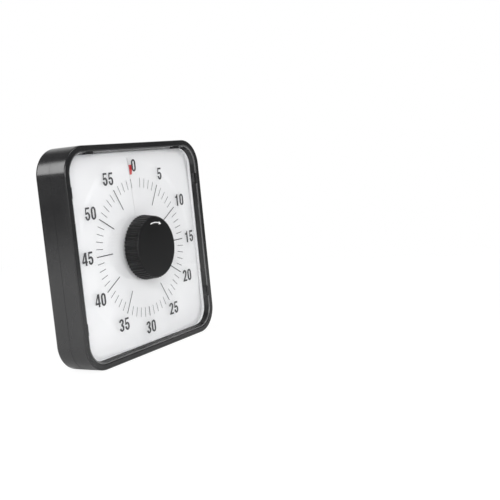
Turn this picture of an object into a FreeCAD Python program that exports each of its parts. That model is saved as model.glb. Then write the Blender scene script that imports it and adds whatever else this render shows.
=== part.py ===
"""Visual countdown timer: a square case with a clear front, a slit dial and a red disc that
winds through the slit as the ribbed knob is turned.

Frame: origin at the centre of the flat base, +X to the right seen from the front, +Y to the
back, +Z up.  Depths are measured backwards from the plane of the front rim.  Angles on the dial
run clockwise from twelve o'clock as seen from the front.  Millimetres.
"""
import FreeCAD, Part
import math
import os

V = FreeCAD.Vector

# Case
case_width = 190.0
case_height = 187.0
case_depth = 33.0
corner_radius = 24.0
wall = 2.2
rim_skin = 2.0
parting_depth = 16.5
parting_reveal_width = 0.25
parting_reveal_depth = 0.15
front_edge_round = 1.4
back_edge_round = 3.0
tongue_height = 2.5
tongue_thickness = 1.2
slip = 0.1

# Window in the front rim
rim_width = 4.9
rim_inner_radius = 19.4
rim_inner_round = 0.8
window_slope = 2.6
window_depth = 5.7
window_corner_radius = 16.9
inner_wall = 1.8
lug_length = 10.0
lug_stand_off = 0.1
lug_start_depth = 1.7
lug_end_depth = 5.2
side_lug_height = 56.0
top_lug_place = 61.5

# Lens and dial
lens_thickness = 1.5
glazing_overlap = 4.0
spacer_reveal = 0.5
dial_mid_depth = 10.0
dial_thickness = 0.4
ledge_thickness = 1.5
dial_radius = 85.8
ledge_width = 1.5
dial_hole_radius = 14.0
twist_end_radius = 77.0
slit_angle = -2.9
slit_gap = 0.6
sheet_steps = 48
seat_gap = 0.05
edge_gap = 0.2

# Red disc that winds through the slit
disc_pitch = 2.0
disc_radius = 65.0
disc_thickness = 0.3
disc_hole_radius = 8.0
disc_clamp_radius = 9.2
disc_twist_start = 9.5
disc_twist_full = 13.5
tab_outer_radius = 74.4
tab_lap = 6.0
tab_step = 0.9
tab_foot = 0.3
tab_reach_angle = 3.9
tab_lean_angle = 0.95
tab_root_angle = 5.0
tab_facets = 6
glue_gap = 0.05
hub_flange_thickness = 1.25
clamp_thickness = 1.0

# Knob and spindle
knob_front_radius = 26.9
knob_base_radius = 28.6
knob_stand_out = 10.5
knob_base_depth = 2.8
knob_wall = 2.0
knob_edge_round = 0.9
rib_count = 54
rib_height = 0.55
rib_width = 1.5
rib_front_stop = 1.6
cap_step = 0.1
knob_boss_radius = 6.0
knob_web_count = 4
knob_web_thickness = 1.5
spindle_radius = 3.0
spindle_pivot_radius = 2.0
spindle_front_cover = 2.4
press_gap = 0.02
running_gap = 0.05
end_play = 1.0
lens_hole_radius = 4.2

# Case screws
screw_edge_distance = 4.0
boss_radius = 3.0
boss_bore_radius = 1.3
pillar_radius = 3.6
screw_radius = 1.25
screw_hole_radius = 1.6
screw_head_radius = 2.3
screw_head_height = 1.6
counterbore_radius = 2.6
screw_floor = 3.0
screw_length = 12.0

# Ribs that press the dial plate and lens forward
presser_place = 45.0
presser_reach = 5.8
presser_thickness = 1.5

# Movement case
movement_width = 56.0
movement_corner = 3.0
movement_front = -2.6
movement_back = 11.4
movement_split = 4.4
movement_wall = 1.5
ear_place_x = 31.0
ear_place_z = 14.0
ear_radius = 4.0
ear_thickness = 2.0
small_post_radius = 2.8
small_screw_radius = 0.95
small_bore_radius = 1.0
small_head_radius = 1.9
small_head_height = 1.2
small_screw_length = 6.5

# Wheels
fast_module = 0.4
slow_module = 0.5
centre_teeth = 60
pinion_teeth = 12
wheel_teeth = 40
rotor_teeth = 10
mesh_gap = 0.1
wheel_thickness = 1.4
centre_wheel_y = 0.3
second_wheel_y = 3.0
second_wheel_angle = 250.0
rotor_angle = 171.0
arbor_radius = 0.8
rotor_arbor_radius = 0.5
rotor_magnet_radius = 2.9
rotor_magnet_length = 2.6
rotor_magnet_y = 5.4
stator_y = 6.2
stator_thickness = 1.0
stator_gap = 0.5
stator_reach = 6.0
stator_post_inset = 1.0
stator_rise = 5.5
stator_bridge = 2.0
core_drop = 5.0
coil_start = 9.0
pole_gap = 1.0
coil_radius = 2.8
coil_flange_radius = 3.1
coil_length = 17.0
coil_flange = 0.8
core_width = 3.0
core_extra = 2.0
hub_height = 0.8
lightening_radius = 2.4
lightening_circle = 10.0
lightening_count = 6
fast_wheel_thickness = 1.0
pinion_cover = 0.3
bearing_wall = 1.2
bearing_height = 1.0
bush_radius = 5.0
bush_height = 0.8
socket_wall = 1.5
socket_height = 3.0
stator_post_radius = 0.9

# Battery bay: one AA cell lying across the back
cell_radius = 7.25
cell_length = 50.5
cell_nub_radius = 2.75
cell_nub_length = 1.2
cell_edge = 0.5
bay_above_movement = 2.5
bay_length = 59.0
bay_width = 18.0
bay_floor_y = -1.0
bay_wall = 2.5
bay_floor_thickness = 1.8
cell_gap = 0.15
contact_thickness = 0.4
contact_width = 12.0
contact_height = 12.5
contact_nub_radius = 3.0
contact_nub_height = 1.2
spring_wire_radius = 0.4
spring_base_radius = 5.2
spring_tip_radius = 3.6
spring_half_turns = 5
door_thickness = 1.9
door_lap = 1.5
door_gap = 0.25
door_edge_break = 0.4
door_skirt_height = 1.4
door_skirt_thickness = 1.0
door_skirt_gap = 0.4
thumb_slot_radius = 5.0
thumb_slot_depth = 0.9

# Fold-out stand
stand_width = 51.0
stand_below_movement = 0.6
stand_thickness = 4.0
stand_skin = 1.6
stand_rib = 1.6
stand_low = 14.4
stand_gap = 0.3
stand_recess = 4.5
stand_recess_wall = 2.2
stand_pin_radius = 1.25
stand_pin_seat = 2.0
stand_pin_wall = 4.5
notch_half_width = 9.0
notch_height = 6.2

# Keyhole for hanging
keyhole_above_bay = 24.5
keyhole_radius = 4.5
keyhole_slot_radius = 2.2
keyhole_rise = 9.0

# Magnets
magnet_radius = 6.0
magnet_thickness = 2.0
magnet_gap = 0.1
magnet_side_distance = 25.0
magnet_end_distance = 25.5
magnet_pad_radius = 8.0
magnet_pad_thickness = 3.6

# Sound: board, three-position volume switch and buzzer
board_centre_x = 56.0
board_length = 34.0
board_width = 28.0
board_thickness = 1.6
board_back = 10.0
chip_length = 8.0
chip_width = 6.0
chip_height = 1.4
capacitor_radius = 2.0
capacitor_height = 4.5
capacitor_place_x = 9.0
capacitor_place_z = 8.0
board_screw_x = 13.5
board_screw_z = 10.5
switch_length = 15.0
switch_width = 6.0
switch_back = 12.8
switch_travel = 8.0
stem_length = 3.0
stem_width = 2.5
pad_length = 7.0
pad_width = 5.0
pad_thickness = 1.2
pad_grip_count = 3
thumb_recess_length = 20.0
thumb_recess_width = 8.0
thumb_recess_depth = 1.7
thumb_floor = 1.6
switch_gap = 0.3
buzzer_x = -56.0
buzzer_radius = 11.0
buzzer_height = 5.0
buzzer_ring_wall = 1.2
sound_hole_radius = 1.1
sound_hole_circle = 5.0
sound_hole_count = 6

# Values worked out from the ones above
front_y = -parting_depth
back_y = front_y + case_depth
centre_z = case_height / 2
rim_half_width = case_width / 2 - rim_width
rim_half_height = case_height / 2 - rim_width
window_half_width = rim_half_width - window_slope
window_half_height = rim_half_height - window_slope
lens_front = front_y + window_depth
lens_back = lens_front + lens_thickness
dial_mid_y = front_y + dial_mid_depth
dial_face_y = dial_mid_y - dial_thickness / 2
dial_seat_y = dial_mid_y + dial_thickness / 2
plate_back = dial_seat_y + ledge_thickness
disc_rest_y = dial_mid_y + disc_pitch / 2
inner_back = back_y - wall
corner_offset = (corner_radius - screw_edge_distance) * math.sqrt(0.5)
screw_x = case_width / 2 - corner_radius + corner_offset
screw_z = case_height / 2 - corner_radius + corner_offset
knob_front_y = front_y - knob_stand_out
knob_base_y = front_y + knob_base_depth
bay_centre_height = centre_z + movement_width / 2 + bay_above_movement + bay_wall + bay_width / 2
cell_y = bay_floor_y + cell_gap + cell_radius
keyhole_height = bay_centre_height + keyhole_above_bay
magnet_place_x = case_width / 2 - magnet_side_distance
magnet_place_z = case_height / 2 - magnet_end_distance
stand_recess_floor = back_y - stand_recess
stand_high = centre_z - movement_width / 2 - stand_below_movement - stand_recess_wall - stand_gap
stand_pin_y = stand_recess_floor + stand_gap + stand_thickness / 2
stand_pin_z = stand_high - stand_thickness / 2
second_distance = slow_module * (centre_teeth + pinion_teeth) / 2 + mesh_gap
rotor_distance = fast_module * (wheel_teeth + rotor_teeth) / 2 + mesh_gap
CORNERS = [(sx, sz) for sx in (-1, 1) for sz in (-1, 1)]


def on_dial(radius, angle, y):
    """Point at a radius and clockwise angle about the dial's centre."""
    turn = math.radians(angle)
    return V(radius * math.sin(turn), y, centre_z + radius * math.cos(turn))


def box(x, y, z):
    """Box from low and high values along each axis."""
    return Part.makeBox(x[1] - x[0], y[1] - y[0], z[1] - z[0], V(x[0], y[0], z[0]))


def rod(radius, x, z, y_from, y_to):
    """Cylinder along Y."""
    return Part.makeCylinder(radius, y_to - y_from, V(x, y_from, z), V(0, 1, 0))


def bar(radius, y, z, x_from, x_to):
    """Cylinder along X."""
    return Part.makeCylinder(radius, x_to - x_from, V(x_from, y, z), V(1, 0, 0))


def outline(half_width, low, high, radius, y):
    """Rounded rectangle in the plane at y, drawn with four lines and four arcs."""
    diagonal = radius * math.sqrt(0.5)
    edges = []
    centres = [(half_width - radius, high - radius), (half_width - radius, low + radius),
               (radius - half_width, low + radius), (radius - half_width, high - radius)]
    starts = []
    ends = []
    for (cx, cz), (ux, uz) in zip(centres, [(1, 1), (1, -1), (-1, -1), (-1, 1)]):
        first = V(cx, y, cz + uz * radius) if ux == uz else V(cx + ux * radius, y, cz)
        last = V(cx + ux * radius, y, cz) if ux == uz else V(cx, y, cz + uz * radius)
        middle = V(cx + ux * diagonal, y, cz + uz * diagonal)
        edges.append(Part.Arc(first, middle, last).toShape())
        starts.append(first)
        ends.append(last)
    for index in range(4):
        edges.append(Part.LineSegment(ends[index], starts[(index + 1) % 4]).toShape())
    return Part.Wire(Part.__sortEdges__(edges))


def slab(half_width, low, high, radius, y_from, y_to):
    """Rounded-rectangle plate between two planes."""
    face = Part.Face(outline(half_width, low, high, radius, y_from))
    return face.extrude(V(0, y_to - y_from, 0))


def centred_slab(half_width, half_height, radius, y_from, y_to):
    """Rounded-rectangle plate centred on the dial."""
    return slab(half_width, centre_z - half_height, centre_z + half_height, radius, y_from, y_to)


def centred_loft(front, back, y_from, y_to):
    """Tapered block between two centred outlines, each (half width, half height, radius)."""
    wires = []
    for (half_width, half_height, radius), y in ((front, y_from), (back, y_to)):
        wires.append(outline(half_width, centre_z - half_height, centre_z + half_height, radius, y))
    return Part.makeLoft(wires, True, True)


def edges_in_plane(shape, y):
    """Edges that lie wholly in the plane at y."""
    found = []
    for edge in shape.Edges:
        if abs(edge.BoundBox.YMin - y) < 1e-4 and abs(edge.BoundBox.YMax - y) < 1e-4:
            found.append(edge)
    return found


def smooth_step(value, start, end):
    """Smooth rise from 0 at start to 1 at end."""
    share = min(max((value - start) / (end - start), 0.0), 1.0)
    return share * share * (3 - 2 * share)


def case_outline_values(inset):
    """Half width, low edge, high edge and corner radius of the case, moved in by inset."""
    return case_width / 2 - inset, inset, case_height - inset, corner_radius - inset


def window_cone(grow, y_from, y_to):
    """The sloping window opening, grown outwards, between two planes."""
    sections = []
    for y in (y_from, y_to):
        share = (y - front_y) / window_depth
        sections.append((rim_half_width - window_slope * share + grow,
                         rim_half_height - window_slope * share + grow,
                         rim_inner_radius + (window_corner_radius - rim_inner_radius) * share + grow))
    return centred_loft(sections[0], sections[1], y_from, y_to)


def retaining_lugs():
    """Snap lugs on the window's sloping wall, in front of the lens."""
    lugs = []
    wall_gap = window_slope + lug_stand_off
    length = (-lug_length / 2, lug_length / 2)
    depth = (front_y + lug_start_depth, front_y + lug_end_depth)
    for side in (-1, 1):
        inner = side * (rim_half_width - wall_gap)
        outer = side * (rim_half_width + inner_wall / 2)
        for end in (-1, 1):
            place = centre_z + end * side_lug_height
            lugs.append(box(sorted((inner, outer)), depth, (place + length[0], place + length[1])))
    for end in (-1, 1):
        place = end * top_lug_place
        inner = centre_z + rim_half_height - wall_gap
        outer = centre_z + rim_half_height + inner_wall / 2
        lugs.append(box((place + length[0], place + length[1]), depth, (inner, outer)))
    return lugs


def make_front_case():
    """Front half of the case: outer wall, rim, sloping window wall, lugs and screw bosses."""
    shell = slab(*case_outline_values(0), front_y, 0)
    shell = shell.makeFillet(front_edge_round, edges_in_plane(shell, front_y))
    shell = shell.cut(window_cone(0, front_y - 1, lens_front + 1))
    rim_edges = [edge for edge in edges_in_plane(shell, front_y)
                 if edge.BoundBox.XMax < rim_half_width + 0.2 and edge.BoundBox.XMin > -rim_half_width - 0.2
                 and edge.BoundBox.ZMax < centre_z + rim_half_height + 0.2
                 and edge.BoundBox.ZMin > centre_z - rim_half_height - 0.2]
    shell = shell.makeFillet(rim_inner_round, rim_edges)
    shell = shell.cut(slab(*case_outline_values(wall), lens_front, 1))
    channel = slab(*case_outline_values(wall), front_y + rim_skin, lens_front)
    shell = shell.cut(channel.cut(window_cone(inner_wall, front_y, lens_front + 1)))
    shell = shell.fuse(retaining_lugs())
    for sx, sz in CORNERS:
        boss = rod(boss_radius, sx * screw_x, centre_z + sz * screw_z, lens_front, 0)
        hole = rod(boss_bore_radius, sx * screw_x, centre_z + sz * screw_z, lens_front + 1, 1)
        shell = shell.fuse(boss).cut(hole)
    return shell.removeSplitter()


def glazing_blank(y_from, y_to):
    """Blank of the lens and dial plate: the window's outline grown, notched round the bosses."""
    blank = centred_slab(window_half_width + glazing_overlap, window_half_height + glazing_overlap,
                         window_corner_radius + glazing_overlap, y_from, y_to)
    for sx, sz in CORNERS:
        notch = rod(boss_radius + edge_gap + slip, sx * screw_x, centre_z + sz * screw_z, y_from, y_to)
        blank = blank.cut(notch)
    return blank


def make_lens():
    """Clear flat lens with the spindle's hole."""
    return glazing_blank(lens_front, lens_back).cut(
        rod(lens_hole_radius, 0, centre_z, lens_front, lens_back))


def make_dial_plate():
    """White surround: spacer rim behind the lens, flat border and the ledge for the round dial."""
    plate = glazing_blank(lens_back, plate_back)
    plate = plate.cut(centred_slab(window_half_width + spacer_reveal, window_half_height + spacer_reveal,
                                   window_corner_radius + spacer_reveal, lens_back, dial_face_y))
    plate = plate.cut(rod(dial_radius + edge_gap, 0, centre_z, dial_face_y, dial_seat_y))
    return plate.cut(rod(dial_radius - ledge_width, 0, centre_z, dial_seat_y, plate_back))


def ring_points(radius, depth_at, thickness, angles_at, steps):
    """Points along the front edge of one ring of a twisted sheet."""
    first, last = angles_at(radius)
    points = []
    for angle in spread(first, last, steps + 1):
        points.append(on_dial(radius, slit_angle + angle, depth_at(radius, angle) - thickness / 2))
    return points


def flat_facets(inner, outer):
    """Two flat triangles for each step between two rings of points."""
    facets = []
    for a, b, c, d in zip(inner, outer, outer[1:], inner[1:]):
        facets.append(Part.Face(Part.makePolygon([a, b, c, a])))
        facets.append(Part.Face(Part.makePolygon([a, c, d, a])))
    return facets


def twisted_sheet(radii, depth_at, thickness, angles_at, steps=sheet_steps):
    """Thin sheet whose depth changes with angle, laid from ring to ring in flat facets."""
    through = V(0, thickness, 0)
    rings = [ring_points(radius, depth_at, thickness, angles_at, steps) for radius in radii]
    faces = []
    for ring in (rings[0], rings[-1]):
        faces += [Part.makeLine(start, end).extrude(through) for start, end in zip(ring, ring[1:])]
    for inner, outer in zip(rings, rings[1:]):
        front = flat_facets(inner, outer)
        faces += front + [facet.translated(through) for facet in front]
        faces += [Part.makeLine(inner[end], outer[end]).extrude(through) for end in (0, -1)]
    shell = Part.makeShell(faces)
    shell.sewShape()
    sheet = Part.makeSolid(shell)
    return sheet if sheet.Volume > 0 else sheet.reversed()


def slit_angles(radius):
    """First and last angle of a sheet with a slit of even width."""
    margin = math.degrees(math.asin(slit_gap / 2 / radius))
    return margin, 360 - margin


def tab_angles(radius):
    """First and last angle of the tab: it crosses the slit only beyond the disc's edge, and leans."""
    if radius < disc_radius + tab_step:
        return 360 - tab_root_angle, 360 - slit_angles(radius)[0]
    lean = tab_lean_angle * (radius - disc_radius - tab_step) / (tab_outer_radius - disc_radius - tab_step)
    return 360 - tab_root_angle, 360 + tab_reach_angle + lean


def spread(start, end, count):
    """Evenly spread values from start to end."""
    return [start + (end - start) * index / (count - 1) for index in range(count)]


def dial_depth(radius, angle):
    """Middle of the dial: one turn of a screw inside, flat at its rim."""
    flat = smooth_step(radius, twist_end_radius, dial_radius - ledge_width - edge_gap)
    return dial_mid_y + disc_pitch * (1 - flat) * (0.5 - angle / 360)


def disc_depth(radius, angle):
    """Middle of the red disc at rest: half a pitch behind the dial, flat at its hub."""
    twist = smooth_step(radius, disc_twist_start, disc_twist_full)
    return disc_rest_y + disc_pitch * twist * (0.5 - angle / 360)


def make_dial():
    """Round white dial with one slit at twelve o'clock, its lips one pitch apart in depth."""
    radii = [dial_hole_radius, twist_end_radius, dial_radius - ledge_width - edge_gap, dial_radius]
    return twisted_sheet(radii, dial_depth, dial_thickness, slit_angles)


def make_countdown_disc():
    """Thin red disc, slit like the dial."""
    radii = [disc_hole_radius, disc_twist_start, disc_twist_full, disc_radius]
    return twisted_sheet(radii, disc_depth, disc_thickness, slit_angles)


def tab_depth(radius, angle):
    """Middle of the tab, which is glued to the back of the disc."""
    return disc_depth(radius, angle) + disc_thickness + glue_gap


def make_disc_tab():
    """Tab on the disc's leading edge that stands in front of the slit at zero."""
    foot = disc_radius + tab_step
    radii = [disc_radius - tab_lap, foot - tab_foot, foot, tab_outer_radius]
    return twisted_sheet(radii, tab_depth, disc_thickness, tab_angles, tab_facets)


def make_disc_hub():
    """Hub of the red disc, running on the spindle."""
    back_face = disc_rest_y + disc_thickness / 2
    front_face = disc_rest_y - disc_thickness / 2
    hub = rod(disc_clamp_radius, 0, centre_z, back_face, back_face + hub_flange_thickness)
    hub = hub.fuse(rod(disc_hole_radius - slip, 0, centre_z, front_face, back_face))
    return hub.cut(rod(spindle_radius + running_gap, 0, centre_z, front_face,
                       back_face + hub_flange_thickness)).removeSplitter()


def make_disc_clamp():
    """Ring that clamps the red disc to its hub."""
    front_face = disc_rest_y - disc_thickness / 2
    ring = rod(disc_clamp_radius, 0, centre_z, front_face - clamp_thickness, front_face)
    return ring.cut(rod(spindle_radius + running_gap, 0, centre_z, front_face - clamp_thickness, front_face))


def knob_radius_at(y):
    """Radius of the knob's skin between its ribs, narrowing towards its front."""
    share = (y - knob_front_y) / (knob_base_y - knob_front_y)
    return knob_front_radius + (knob_base_radius - knob_front_radius) * share - rib_height


def ribbed_outline(y):
    """Outline of the grip in the plane at y: each rib a trapezoid on the skin."""
    valley = knob_radius_at(y)
    foot = math.degrees(rib_width / 2 / valley)
    points = []
    for index in range(rib_count):
        for turn, rise in ((-foot, 0), (-foot / 2, rib_height), (foot / 2, rib_height), (foot, 0)):
            points.append(on_dial(valley + rise, 360 * index / rib_count + turn, y))
    return Part.makePolygon(points + [points[0]])


def make_knob():
    """Hollow tapered cap with grip ribs, a boss on the spindle and webs inside."""
    rib_y = knob_front_y + rib_front_stop
    grip = Part.makeLoft([ribbed_outline(rib_y), ribbed_outline(knob_base_y)], True, True)
    front_radius = knob_radius_at(knob_front_y) - cap_step
    base_radius = knob_radius_at(knob_base_y)
    length = knob_base_y - knob_front_y
    axis = V(0, 1, 0)
    cap = Part.makeCone(front_radius, knob_radius_at(rib_y) - cap_step, rib_front_stop,
                        V(0, knob_front_y, centre_z), axis)
    cap = cap.makeFillet(knob_edge_round, edges_in_plane(cap, knob_front_y))
    hollow = Part.makeCone(front_radius - knob_wall, base_radius - knob_wall,
                           length - knob_wall, V(0, knob_front_y + knob_wall, centre_z), axis)
    inside = rod(knob_boss_radius, 0, centre_z, knob_front_y + knob_wall, knob_base_y)
    for index in range(knob_web_count):
        web = box((0, base_radius), (knob_front_y + knob_wall, knob_base_y - knob_wall),
                  (-knob_web_thickness / 2, knob_web_thickness / 2))
        web.rotate(V(0, 0, 0), axis, 360 * index / knob_web_count)
        web.translate(V(0, 0, centre_z))
        inside = inside.fuse(web)
    bore = rod(spindle_radius + press_gap, 0, centre_z, knob_front_y + spindle_front_cover, knob_base_y)
    return cap.fuse(grip).cut(hollow).fuse(inside.common(hollow)).cut(bore).removeSplitter()


def make_spindle():
    """Stepped spindle from the movement to the knob."""
    step = movement_split - movement_wall
    front = rod(spindle_radius, 0, centre_z, knob_front_y + spindle_front_cover + press_gap, step)
    return front.fuse(rod(spindle_pivot_radius, 0, centre_z, step, movement_back - movement_wall - end_play))


def screw_at(x, z, head_y, head_radius, head_height, radius, length, forward):
    """Pan-head screw along Y with a cross slot; forward is -1 when its tip points to the front."""
    head = Part.makeCylinder(head_radius, head_height, V(x, head_y, z), V(0, -forward, 0))
    top = head_y - forward * head_height
    head = head.makeChamfer(head_height * 0.35, edges_in_plane(head, top))
    shank = Part.makeCylinder(radius, length, V(x, head_y, z), V(0, forward, 0))
    slot_y = sorted((top, top + forward * head_height / 2))
    reach = head_radius * 0.6
    half = radius * 0.25
    cross = box((x - reach, x + reach), slot_y, (z - half, z + half))
    cross = cross.fuse(box((x - half, x + half), slot_y, (z - reach, z + reach)))
    return head.fuse(shank).cut(cross)


def make_case_screws():
    """Four screws from the back into the front case's bosses."""
    screws = []
    for sx, sz in CORNERS:
        screws.append(screw_at(sx * screw_x, centre_z + sz * screw_z, screw_floor, screw_head_radius,
                               screw_head_height, screw_radius, screw_length, -1))
    return Part.makeCompound(screws)


def rear_shell():
    """Back half of the case: outer wall and the tongue that enters the front half."""
    start = parting_reveal_width
    shell = slab(*case_outline_values(0), start, back_y)
    shell = shell.makeFillet(back_edge_round, edges_in_plane(shell, back_y))
    shell = shell.fuse(slab(*case_outline_values(parting_reveal_depth), 0, start))
    shell = shell.fuse(slab(*case_outline_values(wall + slip), -tongue_height, start))
    for sx, sz in CORNERS:
        notch = rod(boss_radius + edge_gap, sx * screw_x, centre_z + sz * screw_z, -tongue_height, 0)
        shell = shell.cut(notch)
    hollow = slab(*case_outline_values(wall + slip + tongue_thickness), -tongue_height, tongue_height)
    hollow = hollow.fuse(slab(*case_outline_values(wall), tongue_height, inner_back))
    return shell.cut(hollow)


def presser_ribs():
    """Ribs from the back wall that press the dial plate forward."""
    y = (plate_back + slip, inner_back + wall / 2)
    half = presser_thickness / 2
    ribs = []
    for side in (-1, 1):
        for place in (-presser_place, presser_place):
            edge = side * (case_width / 2 - wall / 2)
            inner = side * (case_width / 2 - wall - presser_reach)
            z = centre_z + place
            rib = box(sorted((inner, edge)), (0, y[1]), (z - half, z + half))
            nose = side * (case_width / 2 - wall - slip)
            rib = rib.fuse(box(sorted((inner, nose)), y, (z - half, z + half)))
            ribs.append(rib)
            edge = centre_z + side * (case_height / 2 - wall / 2)
            inner = centre_z + side * (case_height / 2 - wall - presser_reach)
            rib = box((place - half, place + half), (0, y[1]), sorted((inner, edge)))
            nose = centre_z + side * (case_height / 2 - wall - slip)
            rib = rib.fuse(box((place - half, place + half), y, sorted((inner, nose))))
            ribs.append(rib)
    return ribs


def battery_bay(shell):
    """Bay open to the back, with a ledge that the door sits on."""
    half_length = bay_length / 2
    half_width = bay_width / 2
    z = bay_centre_height
    outside = box((-half_length - bay_wall, half_length + bay_wall),
                  (bay_floor_y - bay_floor_thickness, inner_back),
                  (z - half_width - bay_wall, z + half_width + bay_wall))
    inside = box((-half_length, half_length), (bay_floor_y, back_y), (z - half_width, z + half_width))
    recess = box((-half_length - door_lap, half_length + door_lap),
                 (back_y - door_thickness - seat_gap, back_y),
                 (z - half_width - door_lap, z + half_width + door_lap))
    return shell.fuse(outside).cut(inside).cut(recess)


def stand_pocket(shell):
    """Recess for the folded stand, the seats of its pin and a notch for a fingertip."""
    half = stand_width / 2 + stand_gap
    low = stand_low - stand_gap
    high = stand_high + stand_gap
    floor = stand_recess_floor
    outside = box((-half - stand_recess_wall, half + stand_recess_wall), (floor - stand_recess_wall, inner_back),
                  (low - notch_height - stand_recess_wall, high + stand_recess_wall))
    seats = box((-half - stand_pin_wall, half + stand_pin_wall), (floor - stand_recess_wall, inner_back),
                (stand_pin_z - stand_thickness, high + stand_recess_wall))
    pocket = box((-half, half), (floor, back_y), (low, high))
    notch = box((-notch_half_width, notch_half_width), (floor, back_y), (low - notch_height, low))
    bores = bar(stand_pin_radius + running_gap, stand_pin_y, stand_pin_z,
                -half - stand_pin_seat, half + stand_pin_seat)
    return shell.fuse(outside).fuse(seats).cut(pocket).cut(notch).cut(bores)


def keyhole(shell):
    """Round entry with a narrow slot rising from it."""
    y = (inner_back - 1, back_y + 1)
    cut = rod(keyhole_radius, 0, keyhole_height, *y)
    cut = cut.fuse(rod(keyhole_slot_radius, 0, keyhole_height + keyhole_rise, *y))
    slot = box((-keyhole_slot_radius, keyhole_slot_radius), y, (keyhole_height, keyhole_height + keyhole_rise))
    return shell.cut(cut.fuse(slot))


def magnet_places():
    """Centres of the four magnets."""
    return [(sx * magnet_place_x, centre_z + sz * magnet_place_z) for sx, sz in CORNERS]


def board_screw_places():
    """Two screws hold the board."""
    return [(board_centre_x + side * board_screw_x, centre_z + side * board_screw_z) for side in (-1, 1)]


def ear_places():
    """The movement's four fixing ears."""
    return [(sx * ear_place_x, centre_z + sz * ear_place_z) for sx, sz in CORNERS]


def volume_slot(shell):
    """Thumb recess and slot of the volume switch."""
    half = thumb_recess_length / 2
    high = thumb_recess_width / 2
    floor = back_y - thumb_recess_depth
    edge = wall / 2
    pad = box((board_centre_x - half - edge, board_centre_x + half + edge), (floor - thumb_floor, inner_back),
              (centre_z - high - edge, centre_z + high + edge))
    recess = box((board_centre_x - half, board_centre_x + half), (floor, back_y), (centre_z - high, centre_z + high))
    reach = (stem_length + switch_travel) / 2 + switch_gap
    rise = stem_width / 2 + switch_gap
    slot = box((board_centre_x - reach, board_centre_x + reach), (floor - thumb_floor, floor),
               (centre_z - rise, centre_z + rise))
    return shell.fuse(pad).cut(recess).cut(slot)


def make_rear_case():
    """Back half of the case with everything that is moulded into it."""
    shell = rear_shell()
    shell = shell.fuse(presser_ribs())
    for sx, sz in CORNERS:
        x, z = sx * screw_x, centre_z + sz * screw_z
        shell = shell.fuse(rod(pillar_radius, x, z, 0, inner_back))
        shell = shell.cut(rod(screw_hole_radius, x, z, 0, back_y))
        shell = shell.cut(rod(counterbore_radius, x, z, screw_floor, back_y))
    shell = keyhole(stand_pocket(battery_bay(shell)))
    for x, z in magnet_places():
        shell = shell.fuse(rod(magnet_pad_radius, x, z, back_y - magnet_pad_thickness, inner_back))
        shell = shell.cut(rod(magnet_radius + magnet_gap, x, z, back_y - magnet_thickness - seat_gap, back_y))
    for x, z in ear_places():
        shell = shell.fuse(rod(small_post_radius, x, z, movement_back, inner_back))
        shell = shell.cut(rod(small_bore_radius, x, z, movement_back, inner_back + wall / 2))
    for x, z in board_screw_places():
        shell = shell.fuse(rod(small_post_radius, x, z, board_back, inner_back))
        shell = shell.cut(rod(small_bore_radius, x, z, board_back, inner_back + wall / 2))
    shell = volume_slot(shell)
    ring = rod(buzzer_radius + slip + buzzer_ring_wall, buzzer_x, centre_z, inner_back - buzzer_height / 2, inner_back)
    ring = ring.cut(rod(buzzer_radius + slip, buzzer_x, centre_z, inner_back - buzzer_height / 2, inner_back))
    shell = shell.fuse(ring)
    for index in range(sound_hole_count):
        turn = 2 * math.pi * index / sound_hole_count
        x = buzzer_x + sound_hole_circle * math.cos(turn)
        z = centre_z + sound_hole_circle * math.sin(turn)
        shell = shell.cut(rod(sound_hole_radius, x, z, inner_back, back_y))
    return shell.removeSplitter()


def make_battery_door():
    """Flush door with a locating skirt inside and a thumbnail slot outside."""
    half_length = bay_length / 2
    half_width = bay_width / 2
    z = bay_centre_height
    inner = back_y - door_thickness
    reach = door_lap - door_gap
    door = box((-half_length - reach, half_length + reach), (inner, back_y),
               (z - half_width - reach, z + half_width + reach))
    door = door.makeChamfer(door_edge_break, edges_in_plane(door, back_y))
    skirt_x = half_length - door_skirt_gap
    skirt_z = half_width - door_skirt_gap
    depth = (inner - door_skirt_height, inner)
    skirt = box((-skirt_x, skirt_x), depth, (z - skirt_z, z + skirt_z))
    thin = door_skirt_thickness
    skirt = skirt.cut(box((-skirt_x + thin, skirt_x - thin), depth, (z - skirt_z + thin, z + skirt_z - thin)))
    slot = rod(thumb_slot_radius, half_length - 2 * thumb_slot_radius, z, back_y - thumb_slot_depth, back_y)
    slot = slot.common(box((0, half_length - 2 * thumb_slot_radius), (inner, back_y), (z - half_width, z + half_width)))
    return door.fuse(skirt).cut(slot).removeSplitter()


def make_cell():
    """AA cell, plain, its positive end to the right."""
    right = bay_length / 2 - contact_thickness - contact_nub_height - cell_gap
    left = right - cell_length
    shoulder = right - cell_nub_length
    can = bar(cell_radius, cell_y, bay_centre_height, left, shoulder)
    can = can.makeChamfer(cell_edge, [edge for edge in can.Edges if isinstance(edge.Curve, Part.Circle)])
    return can.fuse(bar(cell_nub_radius, cell_y, bay_centre_height, shoulder, right))


def make_battery_plate():
    """Positive contact: a plate with a raised nub."""
    edge = bay_length / 2
    half = contact_width / 2
    z = bay_centre_height
    plate = box((edge - contact_thickness, edge), (bay_floor_y, bay_floor_y + contact_height), (z - half, z + half))
    nub = Part.makeCone(contact_nub_radius, contact_nub_radius / 2, contact_nub_height,
                        V(edge - contact_thickness, cell_y, z), V(-1, 0, 0))
    return plate.fuse(nub)


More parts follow.
